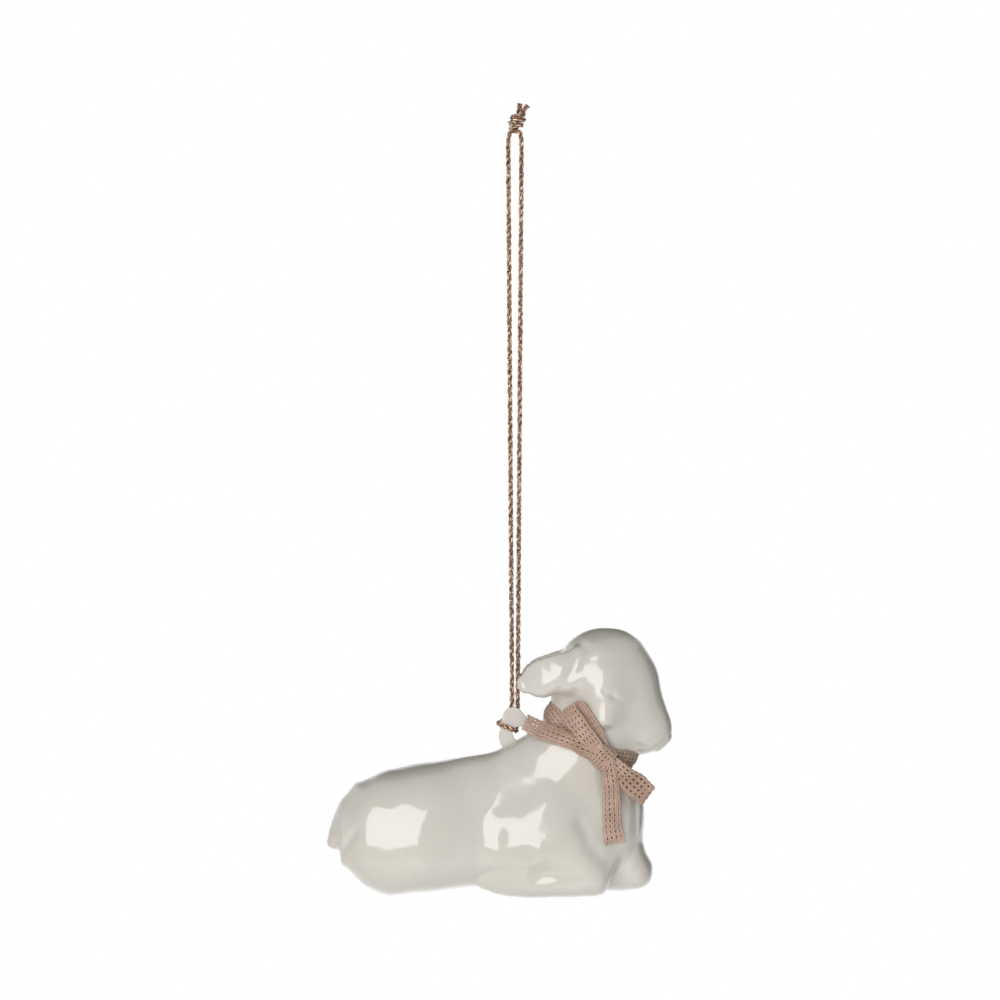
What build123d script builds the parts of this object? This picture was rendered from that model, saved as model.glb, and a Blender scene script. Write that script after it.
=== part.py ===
from build123d import *
import os
from math import cos, sin, tan, pi, radians, sqrt

# Hanging ornament: a lying lamb made of two thin metal half shells, with a flat
# ring at the nape, a metallic cord loop and a knitted ribbon tied in a bow.
# Millimetres. +X is the way the lamb faces, -Y its near side, +Z up.
# The origin is the inside top of the cord loop, where it hangs on its hook.

os.makedirs("parts", exist_ok=True)

# Driving dimensions of the lamb
body_length = 75.0
body_height = 58.0
body_width = 25.0
wall = 0.5
seam_bead_thickness = 0.6
seam_bead_width = 1.6

# Driving dimensions of the ring
ring_thickness = 0.8
ring_hole_diameter = 3.0
ring_hole_side = 1.0
ring_hole_drop = 6.8
ring_top_diameter = 4.5
ring_top_side = -0.4
ring_top_drop = 3.3
ring_rim_width = 2.0
ring_base_diameter = 6.9
ring_base_drop = 7.55
ring_tang_width = 3.4
ring_tang_drop = 13.0
ring_rise = 9.5

# Driving dimensions of the cord
cord_diameter = 1.1
cord_drop = 122.7
loop_spread = 2.85
loop_leg = 0.85
knot_height = 4.6
knot_width = 3.1
knot_depth = 2.6
knot_side = 0.7
knot_seat = 0.75
cord_end_length = 1.7

# Driving dimensions of the ribbon
ribbon_width = 5.5
ribbon_thickness = 0.8
bow_knot_width = 4.3
bow_knot_height = 4.0
bow_knot_depth = 3.4
bow_knot_round = 1.1
neck_band_width = 4.2

# One overrun serves every cut
overrun = 2.0

# Where the cord's line crosses the body, and the nape's height, as shares
balance_share = 0.5436
nape_share = 0.564


def along(share):
    """X of a place given as a share of the body's length from the tail's tip."""
    return (share - balance_share) * body_length


def up(share):
    """Z of a place given as a share of the body's height from its underside."""
    return (share - nape_share) * body_height - cord_drop - ring_rise


def side(share):
    """Y of a place given as a share of the body's width from the seam."""
    return share * body_width


# Each form is a row of stations: along, up, to the side, radius and half depth.
# Along is a share of the length, up and radius of the height, the rest of the width.
torso_shares = [
    (0.055, 0.236, 0.0, 0.119, 0.290),
    (0.121, 0.240, 0.0, 0.197, 0.430),
    (0.242, 0.255, 0.0, 0.238, 0.490),
    (0.414, 0.287, 0.0, 0.238, 0.435),
    (0.599, 0.322, 0.0, 0.261, 0.460),
    (0.754, 0.333, 0.0, 0.246, 0.400),
    (0.869, 0.322, 0.0, 0.168, 0.290),
    (0.901, 0.318, 0.0, 0.104, 0.200),
]
neck_shares = [
    (0.679, 0.430, 0.0, 0.220, 0.400),
    (0.725, 0.527, 0.0, 0.190, 0.365),
    (0.765, 0.620, 0.0, 0.175, 0.325),
    (0.806, 0.709, 0.0, 0.156, 0.310),
    (0.835, 0.780, 0.0, 0.130, 0.280),
]
head_shares = [
    (0.684, 0.916, 0.0, 0.074, 0.180),
    (0.719, 0.887, 0.0, 0.160, 0.300),
    (0.758, 0.854, 0.0, 0.188, 0.350),
    (0.805, 0.809, 0.0, 0.196, 0.370),
    (0.845, 0.756, 0.0, 0.177, 0.355),
    (0.897, 0.665, 0.0, 0.130, 0.285),
    (0.924, 0.621, 0.0, 0.106, 0.240),
    (0.952, 0.588, 0.0, 0.078, 0.185),
    (0.970, 0.575, 0.0, 0.045, 0.120),
]
ear_shares = [
    (0.731, 0.866, -0.225, 0.056, 0.080),
    (0.679, 0.844, -0.252, 0.071, 0.080),
    (0.633, 0.821, -0.226, 0.074, 0.068),
    (0.593, 0.806, -0.190, 0.058, 0.056),
    (0.570, 0.797, -0.165, 0.035, 0.044),
]
tail_shares = [
    (0.115, 0.382, 0.0, 0.067, 0.200),
    (0.069, 0.307, 0.0, 0.056, 0.170),
    (0.032, 0.236, 0.0, 0.036, 0.140),
    (0.020, 0.207, 0.0, 0.024, 0.110),
]
near_arm_shares = [
    (0.622, 0.290, -0.250, 0.140, 0.210),
    (0.673, 0.215, -0.265, 0.112, 0.200),
    (0.745, 0.132, -0.265, 0.086, 0.175),
    (0.785, 0.084, -0.255, 0.061, 0.150),
]
near_shank_shares = [
    (0.785, 0.078, -0.260, 0.058, 0.150),
    (0.702, 0.061, -0.245, 0.055, 0.155),
    (0.587, 0.054, -0.230, 0.054, 0.155),
    (0.486, 0.058, -0.190, 0.041, 0.120),
    (0.455, 0.060, -0.175, 0.026, 0.080),
]
far_arm_shares = [
    (0.590, 0.341, 0.270, 0.127, 0.210),
    (0.620, 0.229, 0.290, 0.112, 0.200),
    (0.650, 0.132, 0.290, 0.086, 0.180),
    (0.665, 0.084, 0.270, 0.061, 0.150),
]
far_shank_shares = [
    (0.650, 0.078, 0.260, 0.056, 0.160),
    (0.760, 0.080, 0.200, 0.058, 0.190),
    (0.850, 0.086, 0.060, 0.062, 0.220),
    (0.892, 0.090, 0.030, 0.060, 0.210),
]
far_cannon_shares = [
    (0.833, 0.300, 0.020, 0.110, 0.260),
    (0.853, 0.190, 0.020, 0.080, 0.240),
    (0.880, 0.110, 0.020, 0.067, 0.215),
]

# The ribbon's lengths: along, up, to the side, and a share of the ribbon's width
knot_spot_shares = (0.809, 0.523, -0.365)
long_tail_shares = [
    (0.788, 0.542, -0.385, 0.43),
    (0.740, 0.570, -0.372, 0.66),
    (0.688, 0.596, -0.352, 0.61),
    (0.630, 0.624, -0.262, 0.59),
    (0.576, 0.652, -0.110, 0.55),
]
down_tail_shares = [
    (0.814, 0.497, -0.385, 0.43),
    (0.822, 0.419, -0.372, 0.59),
    (0.827, 0.326, -0.372, 0.67),
    (0.832, 0.251, -0.370, 0.69),
    (0.837, 0.203, -0.362, 0.78),
]
# A loop's last value is the side of its outer layer, before its width
upper_loop_shares = [
    (0.803, 0.557, -0.360, -0.425, 0.47),
    (0.780, 0.613, -0.356, -0.440, 0.63),
    (0.754, 0.676, -0.350, -0.432, 0.67),
    (0.742, 0.712, -0.346, -0.400, 0.60),
]
lower_loop_shares = [
    (0.826, 0.497, -0.345, -0.405, 0.47),
    (0.863, 0.438, -0.300, -0.385, 0.78),
    (0.898, 0.408, -0.272, -0.352, 0.97),
    (0.922, 0.387, -0.258, -0.312, 0.84),
]
neck_band_centre_shares = (0.765, 0.620)
neck_band_reach_shares = (0.180, 0.325)

level_way = Vector(1, 0, 0)
neck_way = Vector(0.51, 0, 0.86).normalized()
head_way = Vector(0.704, 0, -0.710).normalized()


def eased(knots, values, place):
    """A value between knots, on a smooth curve that never overshoots them."""
    slopes = [(b - a) / (k - j) for a, b, j, k in zip(values, values[1:], knots, knots[1:])]
    bends = [slopes[0]]
    for before, after in zip(slopes, slopes[1:]):
        bends.append(2 * before * after / (before + after) if before * after > 0 else 0)
    bends.append(slopes[-1])
    spot = max(i for i in range(len(slopes)) if knots[i] <= place)
    gap = knots[spot + 1] - knots[spot]
    t = (place - knots[spot]) / gap
    start = values[spot] * (1 + 2 * t) + bends[spot] * gap * t
    end = values[spot + 1] * (3 - 2 * t) - bends[spot + 1] * gap * (1 - t)
    return start * (1 - t) ** 2 + end * t * t


def limb(shares, inset=0.0, start_cap_share=0.5, end_cap_share=0.5, way=None, count=10):
    """A swelling form with round ends, lofted through ellipses along its line."""
    rows = []
    for x_share, z_share, y_share, tall_share, deep_share in shares:
        centre = (along(x_share), side(y_share), up(z_share))
        rows.append((*centre, tall_share * body_height - inset, side(deep_share) - inset))
    knots = [0.0]
    for a, b in zip(rows, rows[1:]):
        knots.append(knots[-1] + sqrt((b[0] - a[0]) ** 2 + (b[2] - a[2]) ** 2))
    columns = list(zip(*rows))
    start_cap = start_cap_share * (rows[0][3] + inset) - inset
    end_cap = end_cap_share * (rows[-1][3] + inset) - inset
    with BuildPart() as form:
        for step in range(1, count):
            place = (start_cap + knots[-1] + end_cap) * (1 - cos(pi * step / count)) / 2 - start_cap
            held = min(max(place, 0.0), knots[-1])
            x, y, z, tall, deep = (eased(knots, column, held) for column in columns)
            behind = max(held - wall, 0.0)
            ahead = min(held + wall, knots[-1])
            run_x, run_z = (
                eased(knots, columns[i], ahead) - eased(knots, columns[i], behind) for i in (0, 2)
            )
            heading = way if way else Vector(run_x, 0, run_z).normalized()
            past = place - held
            cap = start_cap if past < 0 else end_cap
            drawn_in = sqrt(1 - (past / cap) ** 2)
            centre = Vector(x, y, z) + heading * past
            with BuildSketch(Plane(origin=centre, x_dir=(0, 1, 0), z_dir=heading)):
                Ellipse(deep * drawn_in, tall * drawn_in)
        loft()
    return form.part


def mirrored(shares):
    """The same stations on the other side of the seam."""
    return [(x, z, -y, tall, deep) for x, z, y, tall, deep in shares]


def lamb(inset, with_thin_forms=True):
    """The lamb's whole form, drawn in by an inset."""
    with BuildPart() as form:
        add(limb(torso_shares, inset, 0.25, 0.3, way=level_way, count=16))
        add(limb(neck_shares, inset, 0.3, 0.3, way=neck_way))
        add(limb(head_shares, inset, 0.3, 0.33, way=head_way, count=14))
        add(limb(near_arm_shares, inset))
        add(limb(far_arm_shares, inset))
        add(limb(far_shank_shares, inset, end_cap_share=1.0))
        add(limb(far_cannon_shares, inset))
        if with_thin_forms:
            add(limb(ear_shares, inset, end_cap_share=0.75))
            add(limb(mirrored(ear_shares), inset, end_cap_share=0.75))
            add(limb(tail_shares, inset, end_cap_share=1.0))
            add(limb(near_shank_shares, inset))
    return form.part


# The lamb's outer form, the hollow that its wall leaves, and that of the seam bead
with BuildPart() as figure:
    add(lamb(0.0))
cavity = lamb(wall)
core = lamb(wall + seam_bead_thickness, with_thin_forms=False)
seam_plane = Plane.XZ

# Hanging ring: a flat tab with a round hole, whose tang stands in the seam
with BuildPart() as ring_blank:
    with BuildSketch(seam_plane.offset(-ring_thickness / 2)):
        with Locations((ring_top_side, -cord_drop - ring_top_drop)):
            Circle(ring_top_diameter / 2)
        with Locations((ring_hole_side, -cord_drop - ring_hole_drop)):
            Circle(ring_hole_diameter / 2 + ring_rim_width)
        with Locations((0, -cord_drop - ring_base_drop)):
            Circle(ring_base_diameter / 2)
        make_hull()
        with Locations((0, -cord_drop - (ring_base_drop + ring_tang_drop) / 2)):
            Rectangle(ring_tang_width, ring_tang_drop - ring_base_drop)
    extrude(amount=ring_thickness)

with BuildPart() as hanging_ring:
    add(ring_blank.part)
    with BuildSketch(seam_plane.offset(-ring_thickness / 2 - overrun)):
        with Locations((ring_hole_side, -cord_drop - ring_hole_drop)):
            Circle(ring_hole_diameter / 2)
    extrude(amount=ring_thickness + 2 * overrun, mode=Mode.SUBTRACT)
    fillet(hanging_ring.edges().filter_by(GeomType.CIRCLE), ring_thickness / 4)
hanging_ring.part.label = "hanging_ring"
export_step(hanging_ring.part, "parts/hanging_ring.step")


def half_shell(keep):
    """One half of the lamb's wall, cut at the seam and round the ring's tang."""
    with BuildPart() as half:
        add(figure.part)
        add(cavity, mode=Mode.SUBTRACT)
        split(bisect_by=seam_plane, keep=keep)
        add(ring_blank.part, mode=Mode.SUBTRACT)
    return half.part


with BuildPart() as front_shell:
    add(half_shell(Keep.TOP))
front_shell.part.label = "front_shell"
export_step(front_shell.part, "parts/front_shell.step")

with BuildPart() as back_shell:
    add(half_shell(Keep.BOTTOM))
back_shell.part.label = "back_shell"
export_step(back_shell.part, "parts/back_shell.step")

# Solder bead along the inside of the seam
with BuildPart() as seam_solder:
    with BuildSketch(seam_plane.offset(-seam_bead_width / 2)):
        with Locations((0, up(nape_share))):
            Rectangle(2 * body_length, 2 * body_height)
    extrude(amount=seam_bead_width)
    add(cavity, mode=Mode.INTERSECT)
    add(core, mode=Mode.SUBTRACT)
    add(ring_blank.part, mode=Mode.SUBTRACT)
seam_solder.part.label = "seam_solder"
export_step(seam_solder.part, "parts/seam_solder.step")

# The cord's route round the ring, chosen by hand: side to side, near to far, and
# the drop below the bend, from the left leg behind the ring, round its left limb,
# through the hole and up behind it to the right leg
bight_points = [
    (-0.61, 1.05, 0.0),
    (-0.90, 1.05, 3.25),
    (-3.62, 1.05, 4.55),
    (-3.62, -1.05, 4.70),
    (0.31, -1.05, 6.20),
    (0.36, 1.05, 6.40),
    (0.61, 1.05, 0.0),
]
# The straight legs, from the loop's top to above the bend
left_leg_points = [
    (-1.425, 0.0, -1.725),
    (-1.425, 0.0, -4.0),
    (-0.61, 1.05, -121.62),
]
right_leg_points = [
    (1.425, 0.0, -1.725),
    (1.425, 0.0, -4.0),
    (0.61, 1.05, -121.62),
]


def route_radii(points):
    """A radius at each corner, as large as its two runs allow."""
    radii = []
    for a, b, c in zip(points, points[1:], points[2:]):
        before = Vector(*b) - Vector(*a)
        after = Vector(*c) - Vector(*b)
        half_turn = radians(before.get_angle(after)) / 2
        radii.append(0.45 * min(before.length, after.length) / tan(half_turn))
    return radii


def cord(points, name):
    """A round cord swept along straight runs joined by tangent arcs."""
    radii = route_radii(points)
    with BuildPart() as tube:
        with BuildLine() as line:
            FilletPolyline(*points, radius=radii)
        route = line.wires()[0]
        with BuildSketch(Plane(origin=route @ 0, z_dir=route % 0)):
            Circle(cord_diameter / 2)
        sweep(path=route)
    section = pi * cord_diameter ** 2 / 4
    print(name, "radii", [round(r, 2) for r in radii], "length", round(route.length, 2))
    print(name, "volume over section times length", round(tube.part.volume / section / route.length, 3))
    return tube.part


# Top of the cord loop, a half ring under the knot with two short legs
arch_centre = cord_diameter / 2 - loop_spread / 2
with BuildPart() as cord_top:
    with BuildLine() as top_line:
        Line((-loop_spread / 2, 0, arch_centre - loop_leg), (-loop_spread / 2, 0, arch_centre))
        ThreePointArc(
            (-loop_spread / 2, 0, arch_centre),
            (0, 0, cord_diameter / 2),
            (loop_spread / 2, 0, arch_centre),
        )
        Line((loop_spread / 2, 0, arch_centre), (loop_spread / 2, 0, arch_centre - loop_leg))
    top_route = top_line.wires()[0]
    with BuildSketch(Plane(origin=top_route @ 0, z_dir=top_route % 0)):
        Circle(cord_diameter / 2)
    sweep(path=top_route)
cord_top.part.label = "cord_top"
export_step(cord_top.part, "parts/cord_top.step")

# The two straight legs, which meet the top face to face
with BuildPart() as cord_legs:
    add(cord(left_leg_points, "left leg"))
    add(cord(right_leg_points, "right leg"))
cord_legs.part.label = "cord_legs"
export_step(cord_legs.part, "parts/cord_legs.step")

# The cord round the ring, with round ends that clear the legs as the lamb swings
with BuildPart() as cord_bight:
    add(cord([(x, y, -cord_drop - drop) for x, y, drop in bight_points], "bight"))
    for x, y, drop in (bight_points[0], bight_points[-1]):
        with Locations((x, y, -cord_drop - drop)):
            Sphere(cord_diameter / 2)
cord_bight.part.label = "cord_bight"
export_step(cord_bight.part, "parts/cord_bight.step")

# Knot that ties the cord's two ends over the loop, with the cut ends above it
knot_turn_shares = [0.55, 0.86, 1.0, 0.80, 0.92, 0.84, 0.50]
with BuildPart() as cord_knot:
    for step, share in enumerate(knot_turn_shares):
        rise = knot_seat + knot_height * step / (len(knot_turn_shares) - 1)
        lean = knot_side * step / (len(knot_turn_shares) - 1)
        with BuildSketch(Plane.XY.offset(rise)):
            with Locations((lean, 0)):
                Ellipse(share * knot_width / 2, share * knot_depth / 2)
    loft()
    for away in (-1, 1):
        foot = Vector(knot_side + away * cord_diameter / 2, 0, knot_seat + knot_height - cord_diameter / 2)
        tip = foot + Vector(away * cord_diameter / 4, 0, cord_end_length)
        with BuildSketch(Plane(origin=foot, z_dir=tip - foot)):
            Circle(cord_diameter / 2)
        extrude(amount=(tip - foot).length)
    add(cord_top.part, mode=Mode.SUBTRACT)
cord_knot.part.label = "cord_knot"
export_step(cord_knot.part, "parts/cord_knot.step")


def bow_place(x_share, z_share, y_share):
    """A point of the bow from its shares of the body."""
    return Vector(along(x_share), side(y_share), up(z_share))


def ribbon(places, widths, headings):
    """A flat length of ribbon lofted through upright sections at its places."""
    with BuildPart() as length:
        for spot, (centre, width, heading) in enumerate(zip(places, widths, headings)):
            before = places[max(spot - 1, 0)]
            after = places[min(spot + 1, len(places) - 1)]
            across = Vector(-heading.Z, 0, heading.X)
            with BuildSketch(Plane(origin=centre, x_dir=across, z_dir=after - before)):
                Rectangle(width, ribbon_thickness)
        loft(ruled=True)
    return length.part


def level_headings(places):
    """The way along a row of places, seen from the front."""
    headings = []
    for spot in range(len(places)):
        run = places[min(spot + 1, len(places) - 1)] - places[max(spot - 1, 0)]
        headings.append(Vector(run.X, 0, run.Z).normalized())
    return headings


def tail_length(shares):
    """A tail of the bow, from the knot to its cut end."""
    places = [bow_place(x, z, y) for x, z, y, width in shares]
    widths = [width * ribbon_width for x, z, y, width in shares]
    return ribbon(places, widths, level_headings(places))


def loop_length(shares):
    """A loop of the bow: out along the lamb, round a fold and back in front."""
    inner = [bow_place(x, z, y) for x, z, y, outer, width in shares]
    outer = [bow_place(x, z, y) for x, z, far, y, width in shares]
    headings = level_headings(inner)
    widths = [width * ribbon_width for x, z, y, far, width in shares]
    fold_centre = (inner[-1] + outer[-1]) / 2
    fold_radius = (inner[-1] - outer[-1]).length / 2
    fold = []
    for turn in (45, 90, 135):
        out = headings[-1] * (fold_radius * sin(radians(turn)))
        fold.append(fold_centre + out + Vector(0, fold_radius * cos(radians(turn)), 0))
    places = inner + fold + outer[::-1]
    return ribbon(
        places,
        widths + [widths[-1]] * len(fold) + widths[::-1],
        headings + [headings[-1]] * len(fold) + headings[::-1],
    )


# Knot of the bow
knot_way = bow_place(*long_tail_shares[1][:3]) - bow_place(*knot_spot_shares)
with BuildPart() as bow_knot:
    knot_face = Plane(
        origin=bow_place(*knot_spot_shares),
        x_dir=Vector(knot_way.X, 0, knot_way.Z),
        z_dir=(0, -1, 0),
    )
    with BuildSketch(knot_face.offset(-bow_knot_depth / 2)):
        RectangleRounded(bow_knot_width, bow_knot_height, bow_knot_round)
    extrude(amount=bow_knot_depth)
    fillet(bow_knot.faces().group_by(Axis.Y)[0].edges(), bow_knot_round)
    add(figure.part, mode=Mode.SUBTRACT)
bow_knot.part.label = "bow_knot"
export_step(bow_knot.part, "parts/bow_knot.step")

# Neck band, which fits the neck it is tied round
band_centre = Vector(along(neck_band_centre_shares[0]), 0, up(neck_band_centre_shares[1]))
with BuildPart() as neck_band:
    with BuildSketch(Plane(origin=band_centre, x_dir=(0, 1, 0), z_dir=neck_way)):
        Ellipse(
            side(neck_band_reach_shares[1]) + ribbon_thickness,
            neck_band_reach_shares[0] * body_height + ribbon_thickness,
        )
    extrude(amount=neck_band_width / 2, both=True)
    add(figure.part, mode=Mode.SUBTRACT)
    add(bow_knot.part, mode=Mode.SUBTRACT)
neck_band.part.label = "neck_band"
export_step(neck_band.part, "parts/neck_band.step")

# The bow's loops and tails, laid on the lamb from the back layer to the front
taken = [figure.part, bow_knot.part, neck_band.part, ring_blank.part]
bow_lengths = {
    "bow_tail_down": tail_length(down_tail_shares),
    "bow_tail_long": tail_length(long_tail_shares),
    "bow_loop_lower": loop_length(lower_loop_shares),
    "bow_loop_upper": loop_length(upper_loop_shares),
}
for name, length in bow_lengths.items():
    with BuildPart() as piece:
        add(length)
        for other in taken:
            add(other, mode=Mode.SUBTRACT)
    taken.append(piece.part)
    piece.part.label = name
    export_step(piece.part, "parts/" + name + ".step")
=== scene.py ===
from math import cos, exp, pi, radians, sin

import bmesh
import bpy
import numpy as np
import openvdb
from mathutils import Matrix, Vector
from mathutils.bvhtree import BVHTree


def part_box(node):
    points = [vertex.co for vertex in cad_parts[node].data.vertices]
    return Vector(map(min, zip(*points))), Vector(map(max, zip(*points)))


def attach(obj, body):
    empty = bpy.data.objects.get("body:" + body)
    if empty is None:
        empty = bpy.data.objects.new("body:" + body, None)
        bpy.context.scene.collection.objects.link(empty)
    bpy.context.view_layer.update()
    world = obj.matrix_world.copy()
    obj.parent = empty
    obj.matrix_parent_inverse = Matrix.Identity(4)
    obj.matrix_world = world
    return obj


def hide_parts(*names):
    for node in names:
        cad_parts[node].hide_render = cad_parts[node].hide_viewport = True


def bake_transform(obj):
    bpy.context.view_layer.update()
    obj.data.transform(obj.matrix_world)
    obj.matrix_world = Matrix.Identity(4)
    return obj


# A lying lamb of enamelled metal on a metallic cord loop, with a knitted bow.
# Metres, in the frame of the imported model: +X the way the lamb faces, -Y its
# near side, +Z up, and the origin at the inside top of the cord loop.
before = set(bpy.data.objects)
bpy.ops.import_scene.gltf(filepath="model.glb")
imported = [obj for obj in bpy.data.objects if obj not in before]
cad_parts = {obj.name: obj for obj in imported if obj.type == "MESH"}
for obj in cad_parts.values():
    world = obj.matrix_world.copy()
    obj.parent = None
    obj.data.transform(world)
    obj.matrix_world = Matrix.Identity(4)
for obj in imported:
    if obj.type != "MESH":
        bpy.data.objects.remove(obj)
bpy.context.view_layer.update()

mm = 0.001

# The lamb's size and place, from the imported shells
shell_low = np.minimum(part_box("front_shell")[0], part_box("back_shell")[0])
shell_high = np.maximum(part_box("front_shell")[1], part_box("back_shell")[1])
body_length = 75 * mm
body_height = 58 * mm
body_width = 25 * mm
balance_share = 0.5436
nape_share = 0.564
nape_drop = 132.2 * mm


def along(share):
    """X of a place given as a share of the body's length from the tail's tip."""
    return (share - balance_share) * body_length


def up(share):
    """Z of a place given as a share of the body's height from its underside."""
    return (share - nape_share) * body_height - nape_drop


# Camera: the photograph's frame is 1000 pixels square
pixel = body_length / 347.5
origin_pixel = (514.9, 133.5)
frame_pixels = 1000
lens_mm = 120
sensor_mm = 36
camera_distance = frame_pixels * pixel * lens_mm / sensor_mm


def photo(column, row, y=0.0):
    """The point at depth y which shows at a place of the photograph's frame."""
    middle = frame_pixels / 2
    near = 1 + y / camera_distance
    x = (middle - origin_pixel[0] + (column - middle) * near) * pixel
    z = (origin_pixel[1] - middle - (row - middle) * near) * pixel
    return Vector((x, y, z))


def add_object(name, data):
    """A new object in the scene's collection."""
    thing = bpy.data.objects.new(name, data)
    bpy.context.scene.collection.objects.link(thing)
    return thing


def make_camera():
    """The camera stands square to the lamb's near side."""
    data = bpy.data.cameras.new("camera")
    data.lens = lens_mm
    data.sensor_width = sensor_mm
    data.sensor_height = sensor_mm
    data.sensor_fit = "AUTO"
    data.clip_start = 0.01
    data.clip_end = 50
    camera = add_object("camera", data)
    target = photo(frame_pixels / 2, frame_pixels / 2)
    camera.location = target - Vector((0, camera_distance, 0))
    camera.rotation_euler = (radians(90), 0, 0)
    bpy.context.scene.camera = camera


make_camera()


def eased(knots, values, places):
    """Values between knots on a smooth curve that never overshoots them."""
    knots = np.asarray(knots, float)
    values = np.asarray(values, float)
    places = np.clip(places, knots[0], knots[-1])
    gaps = np.diff(knots)
    slopes = np.diff(values) / gaps
    bends = np.empty_like(values)
    bends[0], bends[-1] = slopes[0], slopes[-1]
    product = slopes[:-1] * slopes[1:]
    total = np.where(product > 0, slopes[:-1] + slopes[1:], 1)
    bends[1:-1] = np.where(product > 0, 2 * product / total, 0)
    spot = np.clip(np.searchsorted(knots, places, side="right") - 1, 0, len(gaps) - 1)
    t = (places - knots[spot]) / gaps[spot]
    start = values[spot] * (1 + 2 * t) + bends[spot] * gaps[spot] * t
    end = values[spot + 1] * (3 - 2 * t) - bends[spot + 1] * gaps[spot] * (1 - t)
    return start * (1 - t) ** 2 + end * t * t


# Nodes of materials
def new_material(name):
    """A node material with its shader."""
    material = bpy.data.materials.new(name)
    material.use_nodes = True
    nodes = material.node_tree.nodes
    return material, nodes, material.node_tree.links, nodes["Principled BSDF"]


def put(node, values):
    """Values for some of a node's inputs."""
    for name, value in values.items():
        node.inputs[name].default_value = value


def object_point(nodes):
    """Coordinates that are fixed to the object."""
    return nodes.new("ShaderNodeTexCoord").outputs["Object"]


def noise(nodes, links, point, scale, detail):
    """A noise texture at a scale a metre."""
    texture = nodes.new("ShaderNodeTexNoise")
    put(texture, {"Scale": scale, "Detail": detail})
    links.new(point, texture.inputs["Vector"])
    return texture.outputs["Fac"]


def linear(red, green, blue):
    """A linear colour from its screen values of 0 to 255."""
    shares = [c / 255 for c in (red, green, blue)]
    return tuple(c / 12.92 if c <= 0.04045 else ((c + 0.055) / 1.055) ** 2.4 for c in shares)


def tint(nodes, links, shader, value, stops):
    """The shader's colour by a value, from stops of (place, screen colour)."""
    node = nodes.new("ShaderNodeValToRGB")
    points = node.color_ramp.elements
    while len(points) < len(stops):
        points.new(0.5)
    for point, (place, colour) in zip(points, stops):
        point.position = place
        point.color = (*linear(*colour), 1)
    links.new(value, node.inputs["Fac"])
    links.new(node.outputs["Color"], shader.inputs["Base Color"])


def bump(nodes, links, height, shader, strength, distance, socket="Normal"):
    """A bump on one of the shader's normals."""
    node = nodes.new("ShaderNodeBump")
    put(node, {"Strength": strength, "Distance": distance})
    links.new(height, node.inputs["Height"])
    links.new(node.outputs["Normal"], shader.inputs[socket])


def enamel_material():
    """Warm off-white enamel: glossy, with faint pooling and a slight ripple."""
    material, nodes, links, shader = new_material("enamel")
    point = object_point(nodes)
    cloud = noise(nodes, links, point, 60, 2.0)
    tint(nodes, links, shader, cloud, [(0.3, (192, 187, 177)), (0.7, (197, 192, 183))])
    put(shader, {"Roughness": 0.3, "Specular IOR Level": 0.1})
    put(shader, {"Coat Weight": 1.0, "Coat IOR": 1.6, "Coat Roughness": 0.10})
    waves = noise(nodes, links, point, 260, 2.0)
    bump(nodes, links, waves, shader, 0.25, 0.05 * mm, "Coat Normal")
    return material


enamel = enamel_material()


# The lamb's form: stations of along, up, to the side, half height and half depth
torso_shares = [
    (0.055, 0.236, 0.0, 0.119, 0.270),
    (0.121, 0.240, 0.0, 0.199, 0.400),
    (0.190, 0.245, 0.0, 0.2335, 0.449),
    (0.275, 0.260, 0.0, 0.239, 0.490),
    (0.480, 0.2966, 0.0, 0.243, 0.372),
    (0.645, 0.327, 0.0, 0.261, 0.385),
    (0.754, 0.333, 0.0, 0.246, 0.350),
    (0.860, 0.322, 0.0, 0.168, 0.280),
    (0.891, 0.318, 0.0, 0.104, 0.190),
]
neck_shares = [
    (0.679, 0.430, 0.0, 0.220, 0.325),
    (0.725, 0.527, 0.0, 0.190, 0.345),
    (0.765, 0.620, 0.0, 0.175, 0.325),
    (0.806, 0.709, 0.0, 0.156, 0.310),
    (0.835, 0.780, 0.0, 0.130, 0.280),
]
head_shares = [
    (0.808, 0.820, 0.0, 0.183, 0.338),
    (0.845, 0.756, 0.0, 0.177, 0.315),
    (0.897, 0.665, 0.0, 0.130, 0.245),
    (0.924, 0.621, 0.0, 0.106, 0.205),
    (0.952, 0.588, 0.0, 0.078, 0.160),
    (0.970, 0.575, 0.0, 0.045, 0.105),
]
ear_shares = [
    (0.731, 0.866, -0.225, 0.056, 0.080),
    (0.679, 0.844, -0.252, 0.071, 0.080),
    (0.633, 0.821, -0.226, 0.074, 0.068),
    (0.593, 0.806, -0.190, 0.058, 0.056),
    (0.570, 0.797, -0.165, 0.035, 0.044),
]
tail_shares = [
    (0.117, 0.380, 0.0, 0.061, 0.200),
    (0.071, 0.306, 0.0, 0.052, 0.170),
    (0.034, 0.235, 0.0, 0.035, 0.140),
    (0.020, 0.207, 0.0, 0.024, 0.110),
]
near_arm_shares = [
    (0.612, 0.208, -0.235, 0.175, 0.240),
    (0.670, 0.205, -0.255, 0.112, 0.205),
    (0.745, 0.132, -0.265, 0.086, 0.175),
    (0.785, 0.084, -0.255, 0.061, 0.150),
]
near_shank_shares = [
    (0.785, 0.087, -0.260, 0.056, 0.150),
    (0.702, 0.070, -0.255, 0.054, 0.170),
    (0.587, 0.064, -0.245, 0.053, 0.170),
    (0.486, 0.067, -0.190, 0.041, 0.120),
    (0.455, 0.068, -0.175, 0.026, 0.080),
]
far_arm_shares = [
    (0.590, 0.341, 0.270, 0.127, 0.210),
    (0.620, 0.229, 0.290, 0.112, 0.200),
    (0.650, 0.132, 0.290, 0.086, 0.180),
    (0.665, 0.084, 0.270, 0.061, 0.150),
]
far_shank_shares = [
    (0.650, 0.078, 0.260, 0.056, 0.160),
    (0.760, 0.080, 0.200, 0.058, 0.190),
    (0.850, 0.086, 0.060, 0.062, 0.220),
    (0.892, 0.090, 0.030, 0.060, 0.210),
]
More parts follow.
